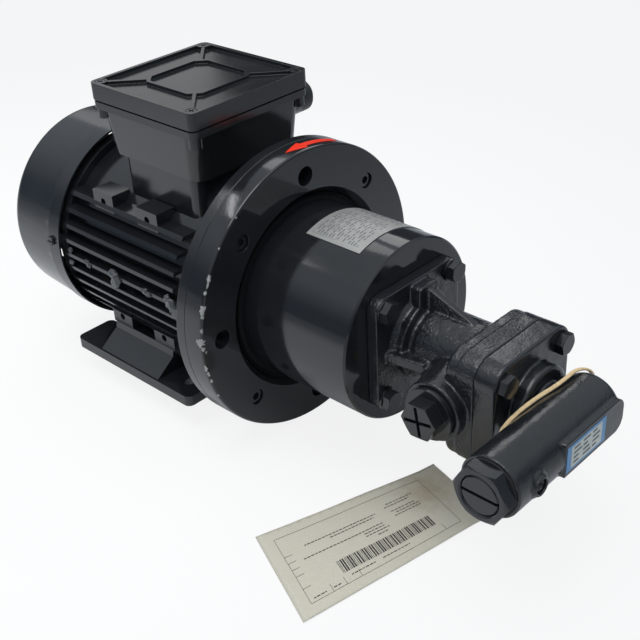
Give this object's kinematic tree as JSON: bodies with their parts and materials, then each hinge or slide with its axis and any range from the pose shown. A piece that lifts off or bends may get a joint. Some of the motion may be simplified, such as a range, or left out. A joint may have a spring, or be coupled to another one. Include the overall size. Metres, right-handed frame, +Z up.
{
  "type": "motor-driven gear pump unit",
  "caption": "Gear pump flanged through a bell housing to a foot-mounted electric motor, with a relief valve on its end cover.",
  "frame": {"origin": "centre of the mounting ring's front face, on the shaft axis", "axes": "+X along the shaft from motor to pump, +Z up through the terminal box, -Y towards the port plug seen in the picture"},
  "size_m": [0.4712, 0.2575, 0.2304],
  "materials": {
    "anthracite_paint": "glossy dark grey paint on machined and cast parts",
    "rough_paint": "glossy dark grey paint over rough sand casting",
    "box_paint": "dark grey paint on die castings",
    "bright_steel": "ground steel",
    "bearing_steel": "hardened ground steel",
    "core_steel": "stacked electrical steel",
    "copper_winding": "varnished copper wire",
    "coupling_aluminium": "turned aluminium",
    "spider_rubber": "red elastomer",
    "black_rubber": "matt black rubber",
    "fan_plastic": "moulded black plastic",
    "plate_silver": "silver foil plate",
    "arrow_red": "red-orange vinyl",
    "label_blue": "pale label with a blue border",
    "block_bronze": "bearing bronze",
    "board_cream": "moulded terminal board",
    "twine_tan": "two-strand natural twine",
    "card_cream": "stained cream card"
  },
  "bodies": {
    "unit": {"motor_frame": "anthracite_paint", "drive_end_shield": "anthracite_paint", "rear_end_shield": "anthracite_paint", "fan_cover": "anthracite_paint", "fan_cover_screws": "anthracite_paint", "stator_core": "core_steel", "stator_windings": "copper_winding", "front_bearing": "bearing_steel", "rear_bearing": "bearing_steel", "left_foot": "anthracite_paint", "right_foot": "anthracite_paint", "foot_screws": "bright_steel", "terminal_box": "box_paint", "box_gasket": "black_rubber", "terminal_lid": "box_paint", "lid_screws": "box_paint", "terminal_block": "board_cream", "entry_plug": "fan_plastic", "mounting_ring": "anthracite_paint", "ring_screws": "anthracite_paint", "damping_rubber": "black_rubber", "bell_housing": "anthracite_paint", "rating_plate": "plate_silver", "rotation_arrow": "arrow_red", "pump_housing": "rough_paint", "flange_bolts": "anthracite_paint", "shaft_seal": "black_rubber", "seal_retaining_ring": "bright_steel", "front_bearing_block": "block_bronze", "rear_bearing_block": "block_bronze", "cover_seal": "black_rubber", "cover_bolts": "anthracite_paint", "dowel_pins": "bright_steel", "left_port_plug": "anthracite_paint", "right_port_plug": "anthracite_paint", "port_seal_rings": "black_rubber", "end_cover": "rough_paint", "valve_seat": "bearing_steel", "valve_spring": "bright_steel", "valve_cap": "anthracite_paint", "cap_seal_ring": "black_rubber", "vent_screw": "anthracite_paint", "valve_label": "label_blue", "twine": "twine_tan", "paper_tag": "card_cream"},
    "rotor": {"motor_shaft": "bright_steel", "rotor_core": "core_steel", "cooling_fan": "fan_plastic", "motor_coupling_hub": "coupling_aluminium", "motor_shaft_key": "bright_steel"},
    "pump_drive": {"drive_gear_shaft": "bearing_steel", "pump_coupling_hub": "coupling_aluminium", "pump_shaft_key": "bright_steel", "coupling_spider": "spider_rubber"},
    "idler": {"idler_gear_shaft": "bearing_steel"},
    "poppet": {"valve_poppet": "bearing_steel"},
    "plate": {"spring_plate": "bright_steel"},
    "screw": {"adjusting_screw": "anthracite_paint"}
  },
  "joints": [
    {"name": "motor_shaft_spin", "type": "hinge", "parent": "unit", "child": "rotor", "pos_m": [0, 0, 0], "axis": [1, 0, 0], "continuous": true},
    {"name": "pump_shaft_spin", "type": "hinge", "parent": "unit", "child": "pump_drive", "pos_m": [0.139, 0, 0], "axis": [1, 0, 0], "continuous": true},
    {"name": "idler_spin", "type": "hinge", "parent": "unit", "child": "idler", "pos_m": [0.139, 0, -0.026], "axis": [1, 0, 0], "continuous": true},
    {"name": "poppet_lift", "type": "slide", "parent": "unit", "child": "poppet", "axis": [0, -1, 0], "range_m": [0, 0.004], "stiffness_N_per_m": 3000, "springref_m": -0.001, "deforming": ["valve_spring"]},
    {"name": "spring_plate_travel", "type": "slide", "parent": "unit", "child": "plate", "axis": [0, 1, 0], "range_m": [0, 0.006]},
    {"name": "adjusting_screw_turn", "type": "hinge", "parent": "plate", "child": "screw", "pos_m": [0.204, -0.08, -0.013], "axis": [0, 1, 0], "range_deg": [0, 1440]}
  ],
  "couplings": [
    {"joint": "pump_shaft_spin", "follows": "motor_shaft_spin", "ratio": 1},
    {"joint": "idler_spin", "follows": "motor_shaft_spin", "ratio": -1},
    {"joint": "adjusting_screw_turn", "follows": "spring_plate_travel", "rad_per_m": 4188.8}
  ]
}
